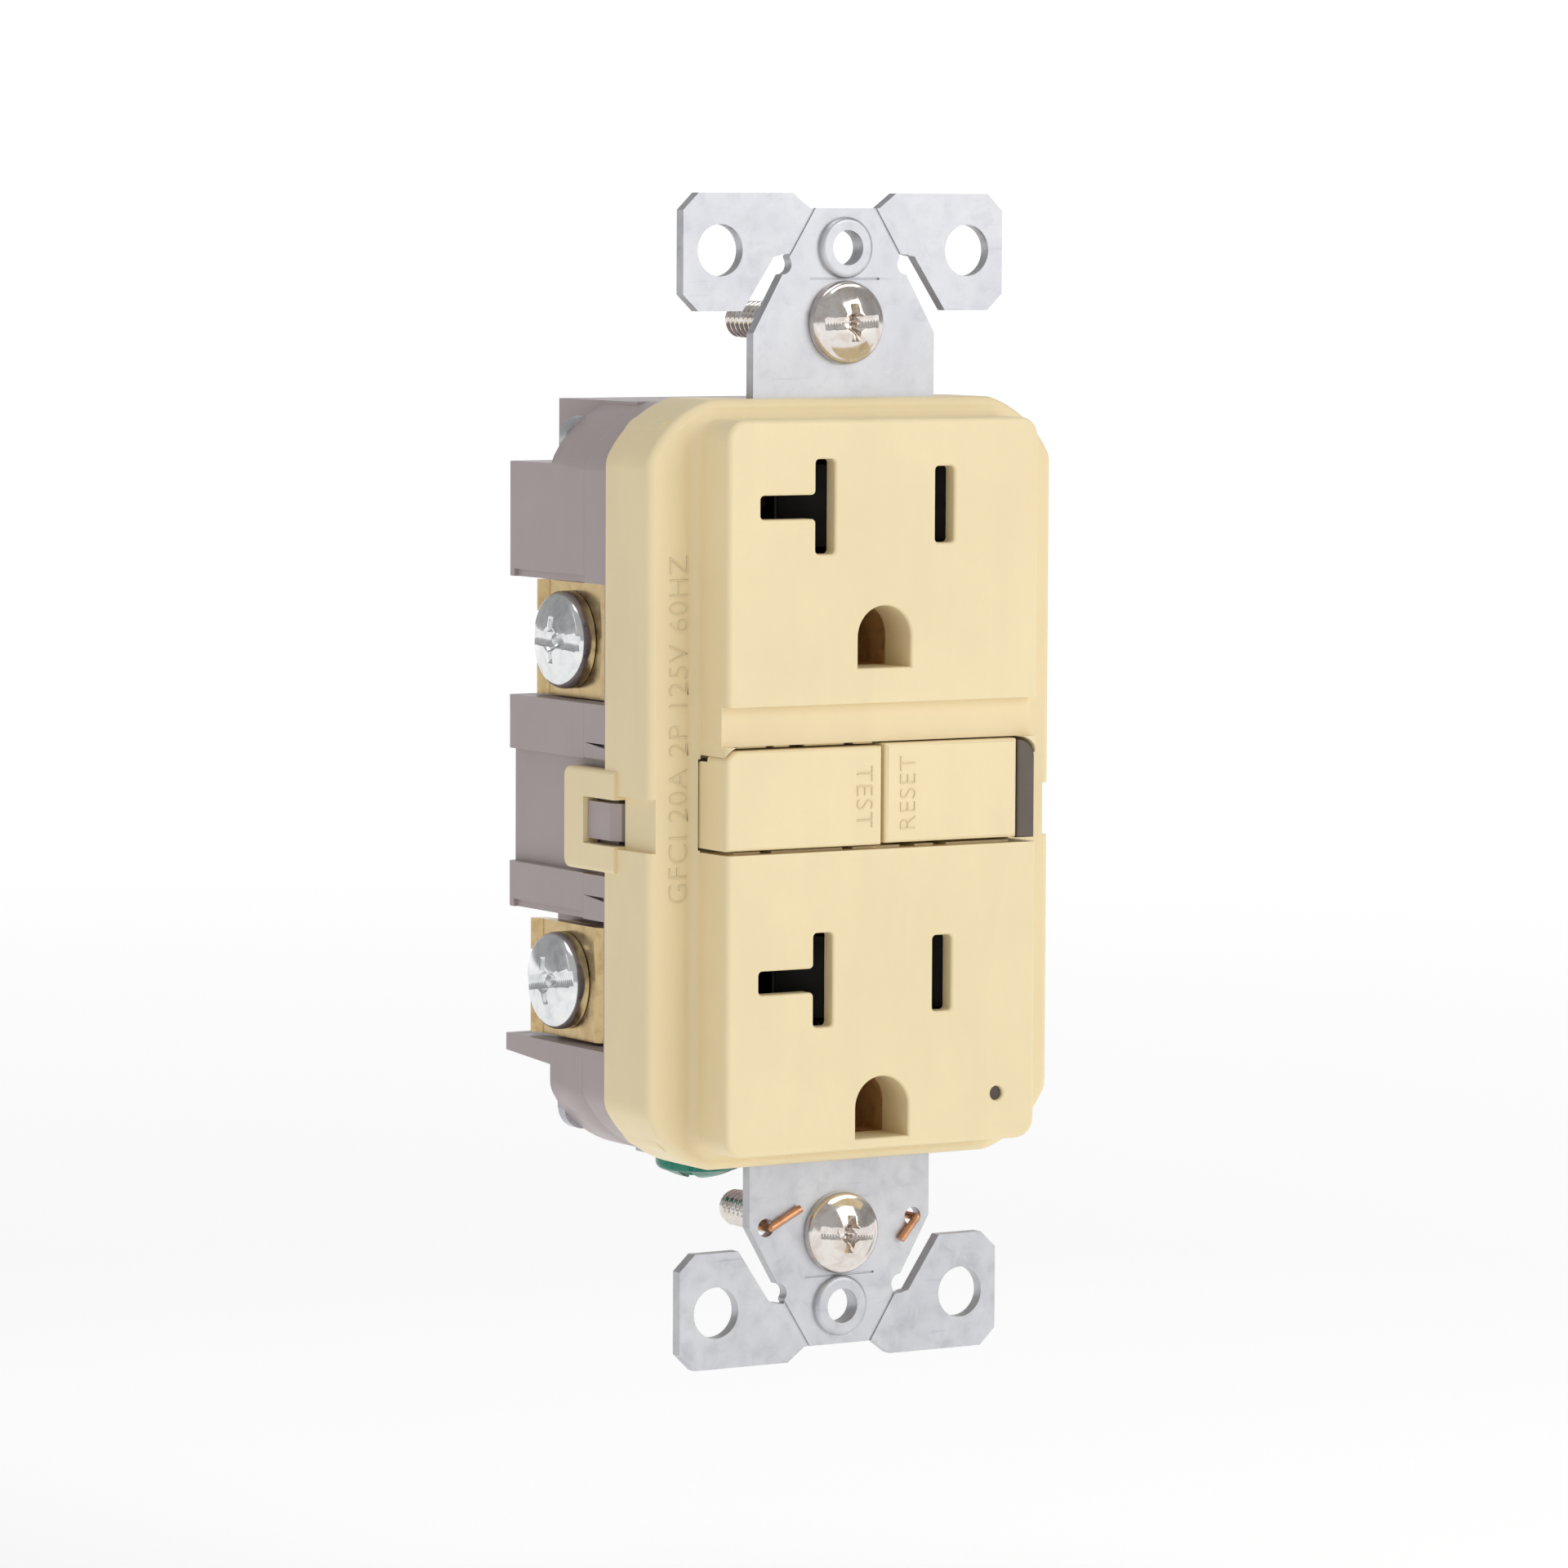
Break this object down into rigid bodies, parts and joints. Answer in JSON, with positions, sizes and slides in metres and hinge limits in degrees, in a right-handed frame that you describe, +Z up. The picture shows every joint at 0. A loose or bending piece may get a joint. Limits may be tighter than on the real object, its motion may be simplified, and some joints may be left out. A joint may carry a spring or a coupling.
{
  "type": "ground fault duplex receptacle",
  "caption": "Duplex wall receptacle with T-shaped neutral slots, test and reset buttons, side terminal screws and a plated steel mounting strap.",
  "frame": {"origin": "midway between the two box mounting screws, on the back plane of the steel strap", "axes": "+X to the right seen from the front, +Y into the wall box, +Z up along the strap"},
  "size_m": [0.0438, 0.0325, 0.1068],
  "materials": {
    "cover_plastic": "semi-gloss ivory moulded nylon",
    "button_plastic": "semi-gloss ivory moulded plastic",
    "housing_plastic": "satin mauve-grey moulded plastic",
    "zinc_steel": "mottled zinc plating",
    "smoked_lens": "smoked translucent plastic",
    "clear_lens": "clear light pipe",
    "shutter_plastic": "black moulded plastic",
    "spring_steel": "drawn wire",
    "bronze": "phosphor bronze strip",
    "brass": "stamped brass",
    "green_plated_steel": "translucent green plating",
    "nickel_steel": "nickel plating",
    "silver_steel": "bright plating",
    "bright_steel": "bright steel",
    "copper": "bare copper wire",
    "fibre": "vulcanised fibre sheet",
    "board_laminate": "glass laminate with solder mask",
    "black_plastic": "black moulded plastic",
    "core_alloy": "wound magnetic tape",
    "enamelled_copper": "enamelled magnet wire",
    "insulated_wire": "insulated conductor",
    "component_yellow": "boxed film component",
    "component_blue": "dipped ceramic component",
    "component_tan": "lacquered component",
    "component_clear": "moulded lamp"
  },
  "bodies": {
    "frame": {"assembly_screws": "zinc_steel", "capacitors": "component_yellow", "circuit_board": "board_laminate", "coil_boat": "black_plastic", "control_chip": "black_plastic", "front_cover": "cover_plastic", "ground_wire_clip": "copper", "hot_bus": "brass", "indicator_lens": "clear_lens", "line_conductors": "insulated_wire", "lower_ground_contact": "bronze", "lower_hot_terminal": "brass", "lower_neutral_terminal": "brass", "lower_shutter_frame": "shutter_plastic", "lower_shutter_spring": "spring_steel", "mounting_strap": "zinc_steel", "neutral_bus": "brass", "plunger_spring": "spring_steel", "rear_housing": "housing_plastic", "reset_spring": "spring_steel", "resistors": "component_tan", "screw_retainers": "fibre", "sensor_cores": "core_alloy", "sensor_windings": "enamelled_copper", "separator": "housing_plastic", "solenoid_bobbin": "black_plastic", "solenoid_frame": "bright_steel", "solenoid_winding": "enamelled_copper", "status_leds": "component_clear", "status_lens": "smoked_lens", "test_spring": "spring_steel", "test_switch_posts": "brass", "upper_ground_contact": "bronze", "upper_hot_terminal": "brass", "upper_neutral_terminal": "brass", "upper_shutter_frame": "shutter_plastic", "upper_shutter_spring": "spring_steel", "varistor": "component_blue"},
    "test": {"test_button": "button_plastic"},
    "reset": {"reset_button": "button_plastic", "reset_pin": "bright_steel"},
    "upper_shutter_slider": {"upper_shutter": "shutter_plastic"},
    "lower_shutter_slider": {"lower_shutter": "shutter_plastic"},
    "trip_plunger": {"plunger": "bright_steel", "latch_plate": "bright_steel"},
    "lifter": {"lifter_block": "housing_plastic"},
    "neutral_arm": {"neutral_contact_arm": "bronze"},
    "hot_arm": {"hot_contact_arm": "bronze"},
    "test_leaf": {"test_contact_leaf": "bronze"},
    "ground_screw_turn": {"ground_screw": "green_plated_steel"},
    "top_screw_turn": {"top_mounting_screw": "nickel_steel"},
    "bottom_screw_turn": {"bottom_mounting_screw": "nickel_steel"},
    "upper_neutral_clamp": {"upper_neutral_clamp_plate": "brass"},
    "upper_neutral_screw": {"upper_neutral_terminal_screw": "silver_steel"},
    "upper_hot_clamp": {"upper_hot_clamp_plate": "brass"},
    "upper_hot_screw": {"upper_hot_terminal_screw": "brass"},
    "lower_neutral_clamp": {"lower_neutral_clamp_plate": "brass"},
    "lower_neutral_screw": {"lower_neutral_terminal_screw": "silver_steel"},
    "lower_hot_clamp": {"lower_hot_clamp_plate": "brass"},
    "lower_hot_screw": {"lower_hot_terminal_screw": "brass"}
  },
  "joints": [
    {"name": "test_press", "type": "slide", "parent": "frame", "child": "test", "axis": [0, 1, 0], "range_m": [0, 0.0012], "stiffness_N_per_m": 1200, "springref_m": -0.001, "deforming": ["test_spring"]},
    {"name": "reset_press", "type": "slide", "parent": "frame", "child": "reset", "axis": [0, 1, 0], "range_m": [0, 0.0016], "stiffness_N_per_m": 1500, "springref_m": -0.001, "deforming": ["reset_spring"]},
    {"name": "upper_shutter_slide", "type": "slide", "parent": "frame", "child": "upper_shutter_slider", "axis": [1, 0, 0], "range_m": [0, 0.0036], "stiffness_N_per_m": 120, "springref_m": -0.001, "deforming": ["upper_shutter_spring"]},
    {"name": "lower_shutter_slide", "type": "slide", "parent": "frame", "child": "lower_shutter_slider", "axis": [1, 0, 0], "range_m": [0, 0.0036], "stiffness_N_per_m": 120, "springref_m": -0.001, "deforming": ["lower_shutter_spring"]},
    {"name": "plunger_pull", "type": "slide", "parent": "frame", "child": "trip_plunger", "axis": [0, 0, -1], "range_m": [0, 0.002], "stiffness_N_per_m": 150, "springref_m": -0.001, "deforming": ["plunger_spring"]},
    {"name": "lifter_rise", "type": "slide", "parent": "frame", "child": "lifter", "axis": [0, -1, 0], "range_m": [0, 0.0014], "stiffness_N_per_m": 200, "springref_m": -0.0005},
    {"name": "neutral_arm_flex", "type": "hinge", "parent": "frame", "child": "neutral_arm", "pos_m": [-0.012, 0.0122, -0.0165], "axis": [1, 0, 0], "range_deg": [0, 6.8]},
    {"name": "hot_arm_flex", "type": "hinge", "parent": "frame", "child": "hot_arm", "pos_m": [0.012, 0.0122, -0.0165], "axis": [1, 0, 0], "range_deg": [0, 6.8]},
    {"name": "test_leaf_flex", "type": "hinge", "parent": "frame", "child": "test_leaf", "pos_m": [-0.0074, 0.0112, 0.009], "axis": [1, 0, 0], "range_deg": [0, 7.35]},
    {"name": "ground_screw_turn", "type": "hinge", "parent": "frame", "child": "ground_screw_turn", "pos_m": [-0.01, 0.0073, -0.03475], "axis": [0, 0, -1], "continuous": true},
    {"name": "top_screw_turn", "type": "hinge", "parent": "frame", "child": "top_screw_turn", "pos_m": [0, -0.0012, 0.04165], "axis": [0, -1, 0], "continuous": true},
    {"name": "bottom_screw_turn", "type": "hinge", "parent": "frame", "child": "bottom_screw_turn", "pos_m": [0, -0.0012, -0.04165], "axis": [0, -1, 0], "continuous": true},
    {"name": "upper_neutral_clamp_slide", "type": "slide", "parent": "frame", "child": "upper_neutral_clamp", "axis": [-1, 0, 0], "range_m": [-0.00087, 0.00132]},
    {"name": "upper_neutral_screw_turn", "type": "hinge", "parent": "upper_neutral_clamp", "child": "upper_neutral_screw", "pos_m": [-0.01875, 0.0157, 0.0124], "axis": [-1, 0, 0], "range_deg": [-396, 601]},
    {"name": "upper_hot_clamp_slide", "type": "slide", "parent": "frame", "child": "upper_hot_clamp", "axis": [1, 0, 0], "range_m": [-0.00087, 0.00132]},
    {"name": "upper_hot_screw_turn", "type": "hinge", "parent": "upper_hot_clamp", "child": "upper_hot_screw", "pos_m": [0.01875, 0.0157, 0.0124], "axis": [1, 0, 0], "range_deg": [-396, 601]},
    {"name": "lower_neutral_clamp_slide", "type": "slide", "parent": "frame", "child": "lower_neutral_clamp", "axis": [-1, 0, 0], "range_m": [-0.00147, 0.00072]},
    {"name": "lower_neutral_screw_turn", "type": "hinge", "parent": "lower_neutral_clamp", "child": "lower_neutral_screw", "pos_m": [-0.01935, 0.0157, -0.019], "axis": [-1, 0, 0], "range_deg": [-669, 329]},
    {"name": "lower_hot_clamp_slide", "type": "slide", "parent": "frame", "child": "lower_hot_clamp", "axis": [1, 0, 0], "range_m": [-0.00147, 0.00072]},
    {"name": "lower_hot_screw_turn", "type": "hinge", "parent": "lower_hot_clamp", "child": "lower_hot_screw", "pos_m": [0.01935, 0.0157, -0.019], "axis": [1, 0, 0], "range_deg": [-669, 329]}
  ],
  "couplings": [
    {"joint": "neutral_arm_flex", "follows": "lifter_rise", "rad_per_m": 84},
    {"joint": "hot_arm_flex", "follows": "lifter_rise", "rad_per_m": 84},
    {"joint": "test_leaf_flex", "follows": "test_press", "rad_per_m": 106.4},
    {"joint": "upper_neutral_screw_turn", "follows": "upper_neutral_clamp_slide", "rad_per_m": 7913.3},
    {"joint": "upper_hot_screw_turn", "follows": "upper_hot_clamp_slide", "rad_per_m": 7913.3},
    {"joint": "lower_neutral_screw_turn", "follows": "lower_neutral_clamp_slide", "rad_per_m": 7913.3},
    {"joint": "lower_hot_screw_turn", "follows": "lower_hot_clamp_slide", "rad_per_m": 7913.3}
  ]
}
